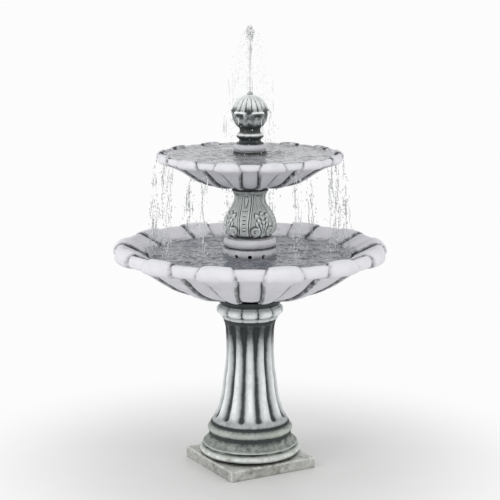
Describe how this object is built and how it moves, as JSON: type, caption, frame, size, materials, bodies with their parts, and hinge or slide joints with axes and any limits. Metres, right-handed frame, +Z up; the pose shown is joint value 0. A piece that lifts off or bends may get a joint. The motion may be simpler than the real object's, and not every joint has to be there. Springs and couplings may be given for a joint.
{
  "type": "tiered water fountain",
  "caption": "Two lobed cast-stone bowls on a fluted pedestal with a baluster riser, ball finial, jet, hidden pump and stones that lift off.",
  "frame": {"origin": "centre of the plinth's bottom face", "axes": "+Z up along the fountain's axis, X and Y square to the plinth's sides, +Y towards the cable exit at the back"},
  "size_m": [0.8998, 0.8982, 1.4674],
  "materials": {
    "plinth_stone": "matte",
    "pedestal_stone": "matte",
    "bowl_stone": "matte",
    "riser_stone": "matte",
    "baluster_stone": "matte",
    "finial_stone": "matte",
    "water": "polished",
    "rubber": "matte",
    "pump_plastic": "satin",
    "rotor_plastic": "satin",
    "epoxy": "gloss",
    "hose_vinyl": "gloss",
    "steel": "satin",
    "copper": "gloss",
    "brass": "satin",
    "foam": "matte",
    "ceramic": "gloss",
    "ferrite": "satin"
  },
  "bodies": {
    "pedestal": {"plinth": "plinth_stone", "base_moulding": "pedestal_stone", "column": "pedestal_stone", "column_collar": "pedestal_stone"},
    "lower_basin": {"lower_bowl": "bowl_stone", "lower_water": "water", "pump_housing": "pump_plastic", "pump_potting": "epoxy", "pump_stator": "steel", "pump_coils": "copper", "pump_volute": "pump_plastic", "pump_strainer": "pump_plastic", "pump_filter_foam": "foam", "pump_shaft": "ceramic", "pump_bushes": "rubber", "pump_outlet_barb": "pump_plastic", "pump_feet": "rubber", "pump_cable_gland": "rubber", "pump_screws": "steel", "riser_hose": "hose_vinyl", "hose_clamp": "steel"},
    "drain_stopper": {"drain_stopper": "rubber"},
    "impeller": {"impeller": "rotor_plastic", "rotor_magnet": "ferrite"},
    "flow_knob": {"flow_knob": "rotor_plastic"},
    "riser": {"riser_drum": "riser_stone", "riser_ring": "riser_stone", "baluster": "baluster_stone"},
    "upper_tier": {"upper_bowl": "bowl_stone", "upper_water": "water", "bulkhead_nipple": "brass", "bulkhead_nuts": "brass", "bulkhead_washers": "rubber", "tube_o_ring": "rubber", "falling_water": "water"},
    "finial": {"finial_base": "finial_stone", "finial_disc": "riser_stone", "finial": "finial_stone", "finial_tube": "steel", "jet_nozzle": "brass", "water_jet": "water"}
  },
  "joints": [
    {"name": "lower_bowl_lift", "type": "slide", "parent": "pedestal", "child": "lower_basin", "axis": [0, 0, 1], "range_m": [0, 0.06]},
    {"name": "riser_lift", "type": "slide", "parent": "lower_basin", "child": "riser", "axis": [0, 0, 1], "range_m": [0, 0.32]},
    {"name": "upper_bowl_lift", "type": "slide", "parent": "riser", "child": "upper_tier", "axis": [0, 0, 1], "range_m": [0, 0.06]},
    {"name": "finial_lift", "type": "slide", "parent": "upper_tier", "child": "finial", "axis": [0, 0, 1], "range_m": [0, 0.06]},
    {"name": "stopper_pull", "type": "slide", "parent": "lower_basin", "child": "drain_stopper", "axis": [0, 0, 1], "range_m": [0, 0.03]},
    {"name": "impeller_spin", "type": "hinge", "parent": "lower_basin", "child": "impeller", "pos_m": [0, 0, 0.68], "axis": [1, 0, 0], "continuous": true},
    {"name": "flow_knob_turn", "type": "hinge", "parent": "lower_basin", "child": "flow_knob", "pos_m": [0.036, 0, 0.68], "axis": [1, 0, 0], "range_deg": [0, 90]}
  ]
}
